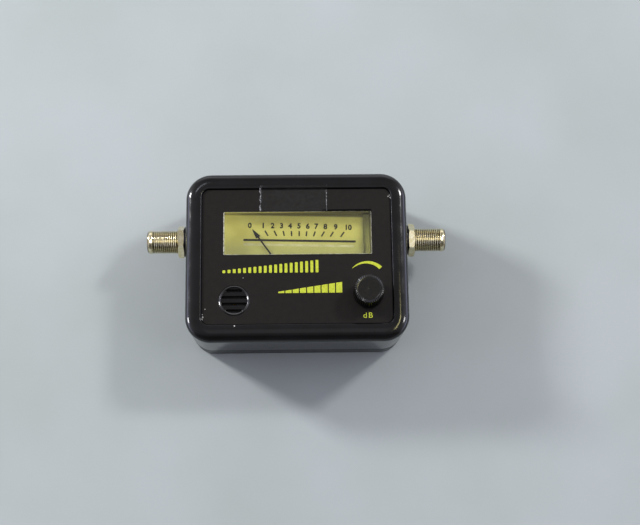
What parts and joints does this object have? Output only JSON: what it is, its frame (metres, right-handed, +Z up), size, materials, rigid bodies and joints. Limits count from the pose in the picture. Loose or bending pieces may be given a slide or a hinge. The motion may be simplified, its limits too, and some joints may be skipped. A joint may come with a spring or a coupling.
{
  "type": "satellite signal meter",
  "caption": "Hand-held in-line signal meter in a black moulded case, with a lit moving-coil dial, a fluted sensitivity knob, a slotted grille and a threaded F connector on each side wall.",
  "frame": {"origin": "bottom centre of the bounding box: the middle of the back face that the meter lies on", "axes": "+X to the right of the dial, along both connectors; +Y to the top of the dial; +Z up, out of the dial"},
  "size_m": [0.1238, 0.0706, 0.0416],
  "materials": {
    "case": "glossy black moulded ABS",
    "plate": "satin black printed film",
    "clear": "clear moulded polystyrene",
    "dial": "yellow printed film",
    "diffuser": "milky acrylic",
    "base": "black phenolic moulding",
    "needle": "black painted aluminium strip",
    "nickel": "bright nickel plate",
    "steel": "zinc plate",
    "dark_steel": "blackened steel",
    "iron": "bare soft iron",
    "magnet": "ground alnico",
    "copper": "enamelled copper wire",
    "brass": "bare brass",
    "bronze": "phosphor bronze strip",
    "insulator": "white polyethylene",
    "board": "green glass-epoxy laminate",
    "component": "black moulded epoxy",
    "capacitor": "blue shrink sleeve",
    "resistor": "beige lacquer",
    "red": "red PVC",
    "black": "black PVC"
  },
  "bodies": {
    "housing": {"front_cover": "case", "rear_cover": "case", "face_plate": "plate", "housing_screw_1": "steel", "housing_screw_2": "steel", "housing_screw_3": "steel", "housing_screw_4": "steel", "connector_body_left": "nickel", "connector_body_right": "nickel", "connector_insulator_left": "insulator", "connector_insulator_right": "insulator", "connector_washer_left": "dark_steel", "connector_washer_right": "dark_steel", "connector_nut_left": "nickel", "connector_nut_right": "nickel", "connector_contact_left": "brass", "connector_contact_right": "brass", "potentiometer_body": "component", "meter_lid": "clear", "meter_base": "base", "dial_plate": "dial", "light_diffuser": "diffuser", "dial_lamp": "diffuser", "lamp_lead_left": "steel", "lamp_lead_right": "steel", "jewel_screw_front": "brass", "jewel_screw_rear": "brass", "hairspring_front": "bronze", "hairspring_rear": "bronze", "core_magnet": "magnet", "yoke_ring": "iron", "movement_frame": "base", "front_bridge": "brass", "meter_lead_red": "red", "meter_lead_black": "black", "buzzer_case": "component", "buzzer_disc": "brass", "buzzer_base": "component", "buzzer_lead_red": "red", "buzzer_lead_black": "black", "circuit_board": "board", "board_screw_left": "steel", "board_screw_right": "steel", "amplifier_chip": "component", "transistor_1": "component", "transistor_2": "component", "voltage_regulator": "component", "capacitor_1": "capacitor", "capacitor_2": "capacitor", "capacitor_3": "capacitor", "resistor_1": "resistor", "resistor_2": "resistor", "choke_left": "copper", "choke_right": "copper"},
    "sensitivity_knob": {"knob": "case", "potentiometer_shaft": "insulator"},
    "pointer": {"needle": "needle", "moving_coil": "copper", "pivot_front": "steel", "pivot_rear": "steel"}
  },
  "joints": [
    {"name": "knob_turn", "type": "hinge", "parent": "housing", "child": "sensitivity_knob", "pos_m": [0.0286, -0.0162, 0.0334], "axis": [0, 0, 1], "range_deg": [-150, 150]},
    {"name": "needle_swing", "type": "hinge", "parent": "housing", "child": "pointer", "pos_m": [0.001, -0.0147, 0.0264], "axis": [0, 0, -1], "range_deg": [-2, 73], "stiffness_Nm_per_rad": 0.00005}
  ]
}
